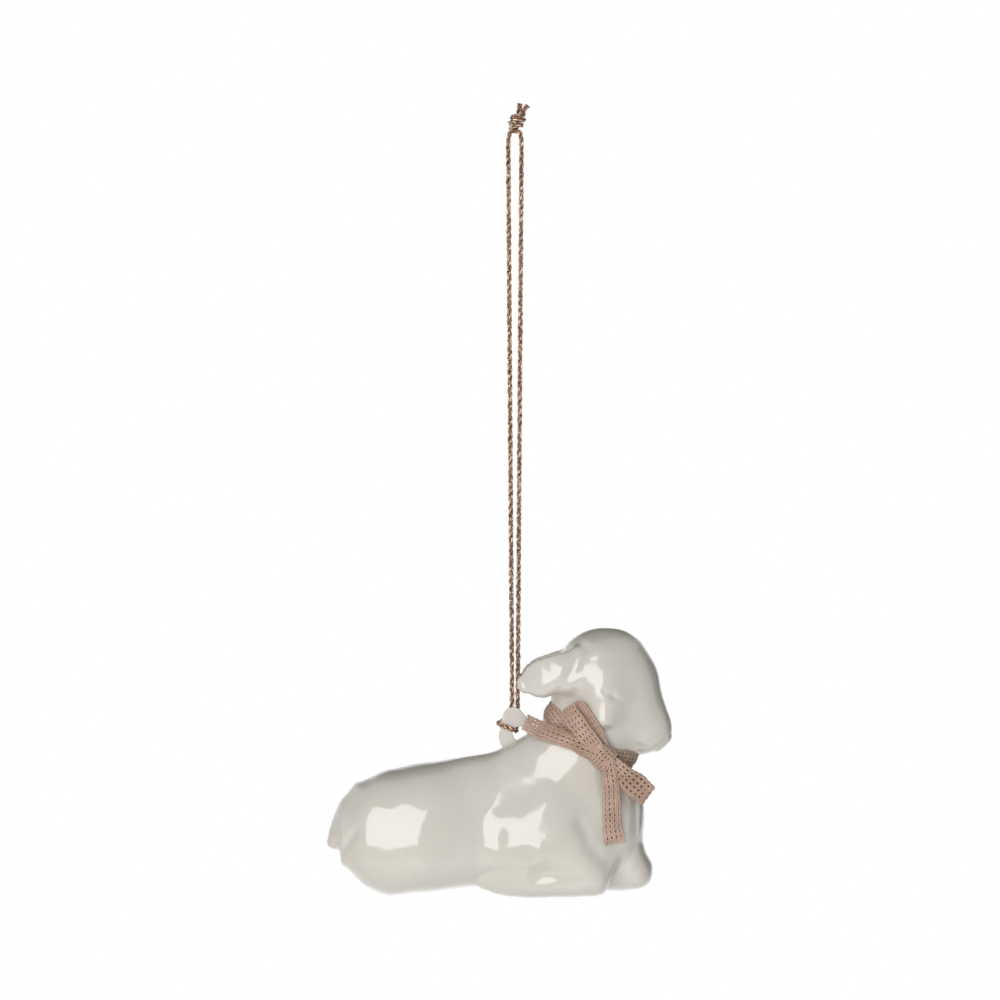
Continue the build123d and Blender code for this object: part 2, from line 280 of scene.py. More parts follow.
far_cannon_shares = [
    (0.833, 0.300, 0.020, 0.092, 0.260),
    (0.853, 0.195, 0.020, 0.080, 0.240),
    (0.880, 0.110, 0.020, 0.067, 0.215),
]
cheek_shares = [
    (0.760, 0.850, 0.0, 0.100, 0.280),
    (0.725, 0.800, 0.0, 0.078, 0.250),
    (0.685, 0.762, 0.0, 0.060, 0.200),
]
brow_shares = [
    (0.778, 0.895, 0.0, 0.100, 0.325),
    (0.792, 0.840, 0.0, 0.115, 0.365),
    (0.799, 0.745, 0.0, 0.112, 0.395),
    (0.799, 0.665, 0.0, 0.093, 0.395),
]


def mirrored(shares):
    """The same stations on the other side of the seam."""
    return [(x, z, -y, tall, deep) for x, z, y, tall, deep in shares]


def limb_distance(points, shares, start_cap=0.5, end_cap=0.5, way=None, fullness=2, lean=(0, 0)):
    """How far points lie outside a round-ended limb through stations.

    A cap is the length of a round end, as a share of the limb's half height there. A
    fullness over 2 makes its sections squarer. A lean, given for both ends, makes them
    narrower on one side, which is the top of a limb that runs along +X."""
    rows = np.array([(along(x), y * body_width, up(z)) for x, z, y, tall, deep in shares])
    tall = np.array([row[3] * body_height for row in shares])
    deep = np.array([row[4] * body_width for row in shares])
    run = rows[-1] - rows[0]
    heading = np.array(way if way else (run[0], 0, run[2]), float)
    heading /= np.linalg.norm(heading)
    across = np.array((-heading[2], 0, heading[0]))
    knots = (rows - rows[0]) @ heading
    offset = (rows - rows[0]) @ across
    place = (points - rows[0]) @ heading
    held = np.clip(place, 0, knots[-1])
    u = (points - rows[0]) @ across - eased(knots, offset, held)
    v = points[:, 1] - eased(knots, rows[:, 1], held)
    cap = np.where(place < 0, start_cap * tall[0], end_cap * tall[-1])
    past = place - held
    reach = np.sqrt(u * u + v * v + past * past) + 1e-9
    rise = np.clip(u / eased(knots, tall, held), -1.2, 1.2)
    leaning = lean[0] + (lean[1] - lean[0]) * held / knots[-1]
    width = eased(knots, deep, held) * (1 - leaning * rise)
    section = np.abs(u / eased(knots, tall, held)) ** fullness + np.abs(v / width) ** fullness
    shape = np.sqrt(section ** (2 / fullness) + (past / cap) ** 2) + 1e-9
    return reach * (1 - 1 / shape)


def smooth_union(a, b, blend):
    """The nearer of two distances, rounded where they meet."""
    share = np.clip(0.5 + 0.5 * (b - a) / blend, 0, 1)
    return b + (a - b) * share - blend * share * (1 - share)


def crease(points, line, width, depth):
    """A soft groove along a line seen from the side, on both faces of the lamb."""
    nearest = np.full(len(points), 1.0)
    flat = points[:, (0, 2)]
    for a, b in zip(line, line[1:]):
        a, b = np.array((a[0], a[2])), np.array((b[0], b[2]))
        run = b - a
        share = np.clip(((flat - a) @ run) / (run @ run), 0, 1)
        nearest = np.minimum(nearest, np.linalg.norm(flat - a - share[:, None] * run, axis=1))
    return depth * np.exp(-((nearest / width) ** 2))


level_way = (1, 0, 0)
neck_way = (0.51, 0, 0.86)
head_way = (0.704, 0, -0.710)
torso_lean = (0.0, 0.46)
ear_lean = (-0.35, -0.50)
torso_fullness = 2.4

# How softly each limb joins the rest
neck_blend = 5 * mm
near_arm_blend = 6.0 * mm
far_arm_blend = 4.5 * mm
tail_blend = 3.0 * mm
far_leg_blend = 2.0 * mm
near_shank_blend = 2.4 * mm
face_blend = 2.5 * mm
ear_blend = 3.0 * mm
head_blend = 1.8 * mm

# Depths of the near face, where creases and hollows are placed
flank_depth = -11 * mm
belly_depth = -10 * mm
arm_depth = -9 * mm
skin_depth = -8 * mm


def seen(places, depth=0.0):
    """Points at one depth, which show at places of the photograph's frame."""
    return [photo(column, row, depth) for column, row in places]


# Creases: a line, a width and a depth
tail_crease = (seen([(338, 855), (346, 845), (356, 829)]), 0.9 * mm, 0.7 * mm)
flank_crease = (seen([(504, 778), (499, 806)], flank_depth), 1.9 * mm, 0.28 * mm)
arm_line = seen([(581, 824), (590, 846), (603, 862), (606, 886)], arm_depth)
arm_crease = (arm_line, 1.5 * mm, 0.50 * mm)
shank_line = seen([(479, 877), (491, 870), (512, 868), (534, 868)], skin_depth)
shank_crease = (shank_line, 0.8 * mm, 0.28 * mm)
ear_line = seen([(584, 650), (577, 664), (566, 680), (552, 698)], skin_depth)
ear_crease = (ear_line, 1.3 * mm, 0.6 * mm)
eye_crease = (seen([(603, 691), (612, 696), (621, 700)], skin_depth), 0.45 * mm, 0.22 * mm)
nostril_crease = (seen([(651, 743), (656, 741), (662, 737)], skin_depth), 0.40 * mm, 0.10 * mm)

# Hollows: a centre, a width and a depth
eye_hollow = (photo(613, 696, skin_depth), 0.8 * mm, 0.45 * mm)
body_hollows = [
    (photo(527, 856, flank_depth), 1.8 * mm, 0.22 * mm),
    (photo(497, 838, flank_depth), 1.7 * mm, 0.20 * mm),
    (photo(520, 877, belly_depth), 1.3 * mm, 0.10 * mm),
    (photo(388, 800, flank_depth), 1.6 * mm, 0.14 * mm),
    (photo(526, 764, flank_depth), 2.6 * mm, 0.38 * mm),
]

# Depths of the metal's slight unevenness, in millimetres
broad_dent = 0.045
middling_dent = 0.035
fine_dent = 0.010


def dents(points):
    """A slight unevenness of the pressed metal, which breaks up its reflections."""
    x, y, z = points.T / mm
    broad = np.sin(0.52 * x + 0.31 * z + 0.9) + np.sin(0.47 * z - 0.38 * x + 0.35 * y + 2.1)
    middling = np.sin(0.83 * x + 0.22 * y - 0.64 * z + 4.4)
    fine = np.sin(1.55 * x + 0.7 * z + 1.3) * np.sin(1.2 * z - 0.5 * x + 0.6)
    return mm * (broad_dent * broad + middling_dent * middling + fine_dent * fine)


def hollow(points, centre, width, depth):
    """A shallow round hollow in the near face, about a place seen from the side."""
    away = (points[:, 0] - centre.x) ** 2 + (points[:, 2] - centre.z) ** 2
    return np.where(points[:, 1] < 0, depth * np.exp(-away / width ** 2), 0)


def body_distance(points):
    """How far points lie outside the lamb's trunk, neck, tail and legs."""
    d = limb_distance(
        points,
        torso_shares,
        start_cap=0.25,
        end_cap=0.3,
        way=level_way,
        fullness=torso_fullness,
        lean=torso_lean,
    )
    neck = limb_distance(points, neck_shares, start_cap=1.0, end_cap=0.3, way=neck_way)
    d = smooth_union(d, neck, neck_blend)
    d = smooth_union(d, limb_distance(points, near_arm_shares, start_cap=0.85), near_arm_blend)
    d = smooth_union(d, limb_distance(points, far_arm_shares), far_arm_blend)
    d = smooth_union(d, limb_distance(points, tail_shares, end_cap=1.0), tail_blend)
    for groove in (tail_crease, flank_crease, arm_crease):
        d = d + crease(points, *groove)
    far_leg = limb_distance(points, far_cannon_shares)
    far_shank = limb_distance(points, far_shank_shares, end_cap=1.0)
    far_leg = smooth_union(far_leg, far_shank, far_leg_blend)
    d = smooth_union(d, far_leg, far_leg_blend)
    d = smooth_union(d, limb_distance(points, near_shank_shares), near_shank_blend)
    d = d + crease(points, *shank_crease)
    for dip in body_hollows:
        d = d + hollow(points, *dip)
    return d


def head_distance(points):
    """How far points lie outside the lamb's head and ears."""
    head = limb_distance(points, head_shares, start_cap=1.02, end_cap=0.33, way=head_way)
    head = smooth_union(head, limb_distance(points, cheek_shares, end_cap=1.0), face_blend)
    head = smooth_union(head, limb_distance(points, brow_shares, start_cap=0.8), face_blend)
    for shares in (ear_shares, mirrored(ear_shares)):
        ear = limb_distance(points, shares, end_cap=0.75, lean=ear_lean)
        head = smooth_union(head, ear, ear_blend)
    for groove in (ear_crease, eye_crease, nostril_crease):
        head = head + crease(points, *groove)
    return head + hollow(points, *eye_hollow)


def lamb_distance(points):
    """How far points lie outside the lamb."""
    form = smooth_union(body_distance(points), head_distance(points), head_blend)
    return form + dents(points)


# The lamb's mesh
margin = 2 * mm
cell = 0.4 * mm
band_cells = 3.0
polish_rounds = 3
wall = 0.5 * mm
seam_depth = 0.06 * mm
seam_width = 0.35 * mm
cut_tolerance = 0.02 * mm


def implicit_mesh(distance, low, high, cell):
    """Points and faces of the surface where a distance is zero."""
    counts = np.ceil((np.array(high) - np.array(low)) / cell).astype(int) + 1
    axes = [low[i] + cell * np.arange(counts[i]) for i in range(3)]
    field = np.empty(counts, np.float32)
    for i, x in enumerate(axes[0]):
        y, z = np.meshgrid(axes[1], axes[2], indexing="ij")
        layer = np.stack([np.full(y.size, x), y.ravel(), z.ravel()], axis=1)
        field[i] = distance(layer).reshape(y.shape) / cell
    grid = openvdb.FloatGrid(band_cells)
    grid.copyFromArray(np.clip(field, -band_cells, band_cells).astype(np.float32))
    points, faces = grid.convertToQuads(0.0)
    points = np.array(points, float) * cell + np.array(low)
    step = 0.1 * cell
    for _ in range(polish_rounds):
        value = distance(points)
        slope = np.stack(
            [
                (distance(points + step * axis) - distance(points - step * axis)) / (2 * step)
                for axis in np.eye(3)
            ],
            axis=1,
        )
        size = np.maximum((slope ** 2).sum(axis=1), 0.05)
        move = -(value / size)[:, None] * slope
        length = np.linalg.norm(move, axis=1, keepdims=True)
        points += move * np.minimum(1, cell / np.maximum(length, 1e-12))
    return points, [tuple(int(i) for i in face[::-1]) for face in faces]


def half_shell(name, points, faces, keep_near):
    """One half of the lamb, cut at the seam and given its wall."""
    mesh = bpy.data.meshes.new(name)
    mesh.from_pydata([tuple(p) for p in points], [], faces)
    work = bmesh.new()
    work.from_mesh(mesh)
    bmesh.ops.bisect_plane(
        work,
        geom=work.verts[:] + work.edges[:] + work.faces[:],
        dist=cut_tolerance,
        plane_co=(0, 0, 0),
        plane_no=(0, 1, 0) if keep_near else (0, -1, 0),
        clear_outer=True,
    )
    bmesh.ops.recalc_face_normals(work, faces=work.faces[:])
    work.normal_update()
    for vertex in work.verts:
        share = exp(-((vertex.co.y / seam_width) ** 2))
        if share > 0.01:
            outward = Vector((vertex.normal.x, 0, vertex.normal.z)).normalized()
            vertex.co -= outward * seam_depth * share
    bmesh.ops.solidify(work, geom=work.faces[:], thickness=wall)
    bmesh.ops.recalc_face_normals(work, faces=work.faces[:])
    work.to_mesh(mesh)
    work.free()
    mesh.polygons.foreach_set("use_smooth", [True] * len(mesh.polygons))
    return add_object(name, mesh)


def make_lamb():
    """The two pressed halves, with a fine groove where they meet."""
    points, faces = implicit_mesh(lamb_distance, shell_low - margin, shell_high + margin, cell)
    near = half_shell("lamb_front", points, faces, True)
    far = half_shell("lamb_back", points, faces, False)
    for shell, node in ((near, "front_shell"), (far, "back_shell")):
        shell.data.materials.append(enamel)
        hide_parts(node)
        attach(shell, "figurine")
    return BVHTree.FromPolygons([tuple(p) for p in points], faces)


lamb_skin = make_lamb()
ray_start = -50 * mm
ray_reach = 30 * mm


def near_side(x, z):
    """Y of the lamb's near surface at x and z, or nothing beside the lamb."""
    hit = lamb_skin.ray_cast(Vector((x, ray_start, z)), Vector((0, 1, 0)))[0]
    return hit.y if hit and hit.y < 0 else None


# Tubes and smooth lines
def unit(vectors):
    """Vectors with a length of one."""
    return vectors / np.maximum(np.linalg.norm(vectors, axis=-1, keepdims=True), 1e-12)


def tubes(paths, outward, radius, sides, closed=False):
    """Points and four-cornered faces of round tubes along paths of one length."""
    count, steps = paths.shape[:2]
    if closed:
        tangent = unit(np.roll(paths, -1, axis=1) - np.roll(paths, 1, axis=1))
    else:
        tangent = unit(np.gradient(paths, axis=1))
    across = unit(np.cross(tangent, outward))
    upward = np.cross(across, tangent)
    turn = 2 * pi * np.arange(sides) / sides
    ring = across[:, :, None] * np.cos(turn)[:, None] + upward[:, :, None] * np.sin(turn)[:, None]
    radius = np.broadcast_to(np.asarray(radius, float), (count, steps))
    points = (paths[:, :, None] + radius[:, :, None, None] * ring).reshape(-1, 3)
    tube, step, side = np.meshgrid(
        np.arange(count), np.arange(steps if closed else steps - 1), np.arange(sides), indexing="ij"
    )
    first = tube * steps * sides
    here, ahead = step * sides, (step + 1) % steps * sides
    beside = (side + 1) % sides
    faces = np.stack(
        [first + here + side, first + here + beside, first + ahead + beside, first + ahead + side],
        axis=-1,
    ).reshape(-1, 4)
    if not closed:
        caps = []
        for k in range(1, sides - 1, 2):
            low = np.arange(count) * steps * sides
            high = low + (steps - 1) * sides
            last = min(k + 2, sides - 1)
            caps.append(np.stack([low, low + last, low + k + 1, low + k], axis=-1))
            caps.append(np.stack([high, high + k, high + k + 1, high + last], axis=-1))
        faces = np.concatenate([faces, *caps])
    return points, faces


def quad_mesh(name, points, faces, materials, index=None):
    """A smooth mesh object of four-cornered faces."""
    mesh = bpy.data.meshes.new(name)
    mesh.vertices.add(len(points))
    mesh.vertices.foreach_set("co", points.ravel())
    mesh.loops.add(faces.size)
    mesh.loops.foreach_set("vertex_index", faces.ravel())
    mesh.polygons.add(len(faces))
    mesh.polygons.foreach_set("loop_start", np.arange(0, faces.size, 4))
    mesh.polygons.foreach_set("use_smooth", np.ones(len(faces), bool))
    for material in materials:
        mesh.materials.append(material)
    if index is not None:
        mesh.polygons.foreach_set("material_index", index)
    mesh.update(calc_edges=True)
    mesh.validate()
    return add_object(name, mesh)


def steered_line(route):
    """Points of the smooth line that a route's points steer."""
    curve = bpy.data.curves.new("steering", "CURVE")
    curve.dimensions = "3D"
    curve.resolution_u = 24
    spline = curve.splines.new("NURBS")
    spline.points.add(len(route) - 1)
    for point, place in zip(spline.points, route):
        point.co = (*place, 1)
    spline.order_u = 3
    spline.use_endpoint_u = True
    guide = bpy.data.objects.new("steering", curve)
    mesh = bpy.data.meshes.new_from_object(guide)
    line = np.array([vertex.co[:] for vertex in mesh.vertices])
    bpy.data.objects.remove(guide)
    bpy.data.curves.remove(curve)
    bpy.data.meshes.remove(mesh)
    return line


def evenly(line, step):
    """The line's points at even steps, and how far along it each one lies."""
    runs = np.linalg.norm(np.diff(line, axis=0), axis=1)
    reach = np.concatenate([[0], np.cumsum(runs)])
    places = np.linspace(0, reach[-1], max(int(reach[-1] / step), 2) + 1)
    return np.stack([np.interp(places, reach, line[:, i]) for i in range(3)], axis=1), places


def level_frames(line):
    """Two directions square to the line, which don't turn about it."""
    tangent = unit(np.gradient(line, axis=0))
    side = np.empty_like(line)
    start = np.cross(tangent[0], (0, 1, 0))
    side[0] = start / np.linalg.norm(start)
    for i in range(1, len(line)):
        level = side[i - 1] - tangent[i] * (side[i - 1] @ tangent[i])
        side[i] = level / np.linalg.norm(level)
    return side, np.cross(tangent, side)


# The metallic cord: three plies, each of four strands
cord_diameter = 1.1 * mm
cord_drop_mm = 122.7
cord_split_drop_mm = 109.3
ply_count = 3
strands_a_ply = 4
ply_pitch = 5.4 * mm
strand_pitch = 2.3 * mm
ply_share = 0.46
strand_share = 0.44
ply_radius = cord_diameter / 2 * ply_share
ply_offset = cord_diameter / 2 - ply_radius
strand_radius = ply_radius * strand_share
strand_offset = ply_radius - strand_radius
strand_step = 0.2 * mm
strand_sides = 6
swell_share = 0.18
swell_pitch = 1.3 * mm
fray_share = 0.4
fray_length = 1.6 * mm
turn_wander = 0.5
turn_pitches_mm = (7.1, 11.9, 17.3)
spread_share = 0.12
spread_pitches_mm = (3.7, 9.1, 14.3)


def ripple(places, pitches):
    """A value from -1 to 1 that wanders along the places, by pitches in millimetres."""
    waves = [np.sin(2 * pi * places / (pitch * mm) + 5 * i) for i, pitch in enumerate(pitches)]
    return sum(waves) / len(waves)


def cord_strands(line, places, flare=None):
    """Paths of the cord's strands, and the way out from each ply's middle."""
    side, front = level_frames(line)
    turned = 2 * pi * places / ply_pitch + turn_wander * ripple(places, turn_pitches_mm)
    spread = 1 + spread_share * ripple(places, spread_pitches_mm)
    if flare is not None:
        spread = spread * (1 + flare)
    paths, outward = [], []
    for ply in range(ply_count):
        way = turned + 2 * pi * ply / ply_count
        out = side * np.cos(way)[:, None] + front * np.sin(way)[:, None]
        middle = line + out * (ply_offset * spread)[:, None]
        for strand in range(strands_a_ply):
            way = 2 * pi * (strand / strands_a_ply - places / strand_pitch) + ply
            off = side * np.cos(way)[:, None] + front * np.sin(way)[:, None]
            paths.append(middle + off * (strand_offset * spread)[:, None])
            outward.append(off)
    return np.array(paths), np.array(outward)


def cord_materials():
    """Copper-rose metallic thread with painted glints, and the dull brown thread twisted with it.
    """
    bright, nodes, links, shader = new_material("metallic_thread")
    point = object_point(nodes)
    # Noise runs the thread's colour from dark brown through copper-rose to near white; the
    # near-white end is painted glints
    painted_glint = noise(nodes, links, point, 1500, 2.0)
    stops = [(0.35, (100, 77, 62)), (0.5, (168, 137, 114)), (0.68, (236, 212, 192))]
    tint(nodes, links, shader, painted_glint, stops)
    put(shader, {"Metallic": 0.85, "Roughness": 0.32})
    bump(nodes, links, noise(nodes, links, point, 4000, 2.0), shader, 0.5, 0.05 * mm)
    dull, nodes, links, shader = new_material("dull_thread")
    cloud = noise(nodes, links, object_point(nodes), 900, 2.0)
    tint(nodes, links, shader, cloud, [(0.35, (120, 92, 74)), (0.65, (168, 136, 114))])
    put(shader, {"Roughness": 0.75})
    return bright, dull


# The cord's routes, in millimetres. The bend's points are x, y and the drop below
# cord_drop_mm, and all the others are x, y and z.
bight_points = [
    (-0.61, 1.05, 0.0),
    (-0.90, 1.05, 3.25),
    (-3.62, 1.05, 4.55),
    (-3.62, -1.05, 4.70),
    (0.31, -1.05, 6.20),
    (0.36, 1.05, 6.40),
    (0.61, 1.05, 0.0),
]
left_leg_points = [
    (0.0, 0.0, 0.55),
    (-1.05, 0.0, 0.55),
    (-1.40, 0.0, -1.10),
    (-1.425, 0.0, -4.0),
    (-0.61, 1.05, -121.62),
]
right_leg_points = [
    (0.61, 1.05, -121.62),
    (1.425, 0.0, -4.0),
    (1.40, 0.0, -1.10),
    (1.05, 0.0, 0.55),
    (0.0, 0.0, 0.55),
]
left_end_points = [
    (-0.10, 0.00, 0.50),
    (-0.95, -0.20, 0.95),
    (-0.85, -1.15, 1.35),
    (1.30, -1.20, 1.70),
    (1.55, 1.05, 1.95),
    (-0.95, 1.15, 2.10),
    (-1.10, -1.25, 2.45),
    (1.85, -1.35, 2.80),
    (2.00, 1.20, 3.05),
    (-0.65, 1.20, 3.20),
    (-0.75, -1.20, 3.55),
    (1.80, -1.25, 3.90),
    (1.95, 0.60, 4.20),
    (0.75, 0.75, 4.60),
    (0.95, 0.10, 5.40),
    (1.15, 0.00, 6.45),
]
right_end_points = [
    (0.10, 0.0, 0.50),
    (0.35, 0.10, 1.40),
    (0.70, -0.10, 2.40),
    (1.05, 0.10, 3.40),
    (1.45, 0.10, 4.40),
    (2.05, 0.05, 5.20),
    (2.75, 0.00, 6.10),
]


def dull_strands(faces, steps):
    """One for the faces of each ply's dull strand, and zero for the others."""
    return (faces[:, 0] // (steps * strand_sides) % strands_a_ply == 0).astype(int)


def loop_meshes(line, places, lengths, materials):
    """The loop's lengths by name, strand by strand."""
    paths, outward = cord_strands(line, places)
    size = strand_radius * (1 + swell_share * np.sin(2 * pi * places / swell_pitch))
    made = {}
    for name, part in lengths.items():
        points, faces = tubes(paths[:, part], outward[:, part], size[part], strand_sides)
        dull = dull_strands(faces, part.stop - part.start)
        made[name] = quad_mesh(name, points, faces, materials, dull)
    return made


def make_knot(materials):
    """The knot over the loop, with its two frayed ends."""
    all_points, all_faces, all_dull = [], [], []
    point_count = 0
    for route in (left_end_points, right_end_points):
        line, places = evenly(steered_line(np.array(route) * mm), strand_step)
        flare = fray_share * np.clip((places - places[-1] + fray_length) / fray_length, 0, 1) ** 2
        paths, outward = cord_strands(line, places, flare)
        points, faces = tubes(paths, outward, strand_radius, strand_sides)
        all_points.append(points)
        all_faces.append(faces + point_count)
        all_dull.append(dull_strands(faces, len(line)))
        point_count += len(points)
    knot = quad_mesh(
        "knot",
        np.concatenate(all_points),
        np.concatenate(all_faces),
        materials,
        np.concatenate(all_dull),
    )
    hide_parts("cord_knot")
    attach(knot, "hanger")
    return knot


def make_cord():
    """The loop in three lengths, and the knot over it."""
    materials = cord_materials()
    bend = [(x, y, -cord_drop_mm - drop) for x, y, drop in bight_points]
    route = np.array(left_leg_points + bend + right_leg_points) * mm
    line, places = evenly(steered_line(route), strand_step)
    low = np.flatnonzero(line[:, 2] < -cord_split_drop_mm * mm)
    first, last = low[0], low[-1]
    lengths = {
        "cord_left": slice(0, first + 1),
        "cord_bend": slice(first, last + 1),
        "cord_right": slice(last, len(line)),
    }
    made = loop_meshes(line, places, lengths, materials)
    knot = make_knot(materials)
    for name in ("cord_left", "cord_right"):
        leg, part = made[name], lengths[name]
        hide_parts("cord_top", "cord_legs")
        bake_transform(leg)
    bend_part = made["cord_bend"]
    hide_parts("cord_bight")
    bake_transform(bend_part)
    part = lengths["cord_bend"]


make_cord()

# The knitted ribbon: chains of stitches side by side, joined by bars between the holes
chain_count = 5
chain_width = 0.86 * mm
course = 1.22 * mm
yarn_radius = 0.180 * mm
yarn_sides = 6
stitch_steps = 14
bar_steps = 25
ribbon_width = 5.4 * mm
ribbon_rest = 0.42 * mm
chain_inset = chain_width / 2 / ribbon_width

# A stitch's reach, length and start in courses, its narrowing, rise and dip
stitch_reach = 0.72
stitch_length = 0.93
stitch_start = 0.04
stitch_narrowing = 0.35
stitch_rise = 0.16 * mm
stitch_dip = 0.17 * mm

# A bar's place and swing in courses, its drop under the other bar, and its ends' inset
bar_place = 0.42
bar_swing = 0.20
bar_drop = 0.10 * mm
bar_inset_share = 0.6


def knit_material():
    """Matte cotton yarn in a dusty rose beige."""
    material, nodes, links, shader = new_material("knit_yarn")
    point = object_point(nodes)
    cloud = noise(nodes, links, point, 260, 3.0)
    stops = [(0.3, (165, 136, 118)), (0.55, (184, 155, 138)), (0.75, (197, 171, 154))]
    tint(nodes, links, shader, cloud, stops)
    put(shader, {"Roughness": 0.9, "Sheen Weight": 0.25, "Sheen Roughness": 0.5})
    bump(nodes, links, noise(nodes, links, point, 5000, 3.0), shader, 0.6, 0.06 * mm)
    return material


knit_yarn = knit_material()


def surface_reader(grid):
    """A function for points of the ribbon's surface, raised from it by a height."""
    rows, columns = grid.shape[:2]
    along_way = np.gradient(grid, axis=0)
    across_way = np.gradient(grid, axis=1)
    normal = unit(np.cross(along_way, across_way))
    both = np.concatenate([grid, normal], axis=2)

    def read(a, b, height):
        i = np.clip(a, 0, 1) * (rows - 1)
        j = np.clip(b, 0, 1) * (columns - 1)
        i0 = np.minimum(i.astype(int), rows - 2)
        j0 = np.minimum(j.astype(int), columns - 2)
        u, v = (i - i0)[..., None], (j - j0)[..., None]
        low = both[i0, j0] * (1 - v) + both[i0, j0 + 1] * v
        high = both[i0 + 1, j0] * (1 - v) + both[i0 + 1, j0 + 1] * v
        value = low * (1 - u) + high * u
        return value[..., :3] + height[..., None] * unit(value[..., 3:]), unit(value[..., 3:])

    return read


def strayed(row, chain):
    """How far a stitch strays, in courses along it and as a share of the width."""
    lean = 0.07 * sin(2.1 * row + 1.7 * chain) + 0.05 * sin(5.3 * row * chain + 0.4)
    return lean, 0.01 * sin(1.3 * row + chain)


def stitch_tubes(read, courses):
    """Points and faces of the chains of stitches, by a reader of the ribbon's surface."""
    turn = 2 * pi * np.arange(stitch_steps) / stitch_steps
    half = chain_width / 2 - yarn_radius
    stitch_across = half * np.sin(turn) * (1 + stitch_narrowing * np.cos(turn))
    stitch_along = 0.5 - stitch_reach * np.cos(turn)
    stitch_height = stitch_rise - stitch_dip * (1 + np.cos(2 * turn)) / 2
    paths, outward = [], []
    for chain in range(chain_count):
        middle = chain_inset + (1 - 2 * chain_inset) * chain / (chain_count - 1)
        for row in range(courses):
            lean, stray = strayed(row, chain)
            a = (row + stitch_along * stitch_length + stitch_start + lean) / courses
            b = middle + stitch_across / ribbon_width + stray
            place, way = read(a, b, stitch_height)
            paths.append(place)
            outward.append(way)
    return tubes(np.array(paths), np.array(outward), yarn_radius, yarn_sides, closed=True)


def bar_tubes(read, courses):
    """Points and faces of the bars between the holes, two to each course."""
    edge = chain_inset * bar_inset_share
    share = np.linspace(edge, 1 - edge, bar_steps)
    paths, outward = [], []
    for row in range(courses):
        for wave, level in ((1, 0.0), (-1, -bar_drop)):
            swing = bar_swing * wave * np.cos(2 * pi * share * (chain_count - 1))
            a = (row + bar_place + swing) / courses
            place, way = read(a, share, np.full(bar_steps, level))
            paths.append(place)
            outward.append(way)
    return tubes(np.array(paths), np.array(outward), yarn_radius, yarn_sides)


def knit(name, grid, node):
    """A ribbon knitted over a grid of points, which run along it and across it."""
    read = surface_reader(grid)
    middle = grid[:, grid.shape[1] // 2]
    length = np.linalg.norm(np.diff(middle, axis=0), axis=1).sum()
    courses = max(int(round(length / course)), 2)
    points, faces = stitch_tubes(read, courses)
    bar_points, bar_faces = bar_tubes(read, courses)
    ribbon = quad_mesh(
        name,
        np.concatenate([points, bar_points]),
        np.concatenate([faces, bar_faces + len(points)]),
        [knit_yarn],
    )
    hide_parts(node)
    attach(ribbon, "figurine")


def through(places, step_count):
    """A smooth line through places, at even steps, and the same for values with them."""
    places = np.asarray(places, float)
    runs = np.linalg.norm(np.diff(places[:, :3], axis=0), axis=1)
    knots = np.concatenate([[0], np.cumsum(np.sqrt(np.maximum(runs, 1e-9)))])
    slope = np.gradient(places, knots, axis=0)
    fine = np.linspace(0, knots[-1], 40 * len(places))
    spot = np.clip(np.searchsorted(knots, fine, side="right") - 1, 0, len(knots) - 2)
    gap = np.diff(knots)[spot][:, None]
    t = ((fine - knots[spot]) / gap[:, 0])[:, None]
    a, b = places[spot], places[spot + 1]
    line = (
        a * (1 + 2 * t) * (1 - t) ** 2
        + slope[spot] * gap * t * (1 - t) ** 2
        + b * t * t * (3 - 2 * t)
        - slope[spot + 1] * gap * t * t * (1 - t)
    )
    reach = np.concatenate([[0], np.cumsum(np.linalg.norm(np.diff(line[:, :3], axis=0), axis=1))])
    even = np.linspace(0, reach[-1], step_count)
    return np.stack([np.interp(even, reach, line[:, i]) for i in range(line.shape[1])], axis=1)


grid_rows = 120
grid_columns = 9
curl_depth_share = 0.7
draping_rounds = 6
easing_rounds = 4
fold_reach_mm = 0.9


def bow_place(column, row, y_mm):
    """A point of the bow, from a place in the photograph's frame and a depth."""
    return np.array(photo(column, row, y_mm * mm))


def bow_rows(stations):
    """Rows of x, y, z and width from stations of the bow."""
    return [(*bow_place(c, r, y), w * pixel) for c, r, y, w in stations]


def square_to(heading):
    """Directions square to the headings, in the plane of the photograph."""
    return np.stack([-heading[:, 2], np.zeros(len(heading)), heading[:, 0]], axis=1)


def laid(x, y, z):
    """Y of a place of the ribbon, brought out in front of the lamb's skin."""
    skin = near_side(x, z)
    return y if skin is None else min(y, skin - ribbon_rest)


def curl(width, projected):
    """The angle to each side over which a ribbon bends to look as narrow as given."""
    angles = np.linspace(0.001, pi * 0.85, 400)
    return np.interp(-projected / width, -np.sin(angles) / angles, angles)


def tail_grid(stations, width_share):
    """The surface of a tail that lies over the lamb, from the knot to its cut end."""
    line = through(bow_rows(stations), grid_rows)
    heading = unit(np.gradient(line[:, :3], axis=0) * (1, 0, 1))
    across = square_to(heading)
    share = np.linspace(-1, 1, grid_columns)
    width = ribbon_width * width_share
    grid = np.empty((grid_rows, grid_columns, 3))
    for i in range(grid_rows):
        angle = curl(width, min(line[i, 3], width * 0.999))
        radius = width / 2 / angle
        off = radius * np.sin(angle * share)
        rise = radius * (np.cos(angle * share) - cos(angle))
        spots = line[i, :3] + across[i] * off[:, None]
        for j, spot in enumerate(spots):
            grid[i, j] = (spot[0], laid(*spot) - curl_depth_share * rise[j], spot[2])
    return eased_grid(grid)


def averaged(depth):
    """Depths evened out with those of the rows on both sides."""
    longer = np.concatenate([depth[:1], depth, depth[-1:]])
    return 0.25 * longer[:-2] + 0.5 * depth + 0.25 * longer[2:]


def eased_grid(grid):
    """The grid with its depths evened out, so that it lies in soft curves."""
    depth = grid[:, :, 1].copy()
    for _ in range(draping_rounds):
        depth = np.minimum(depth, averaged(depth))
    for _ in range(easing_rounds):
        depth = averaged(depth)
    grid[:, :, 1] = depth
    return grid


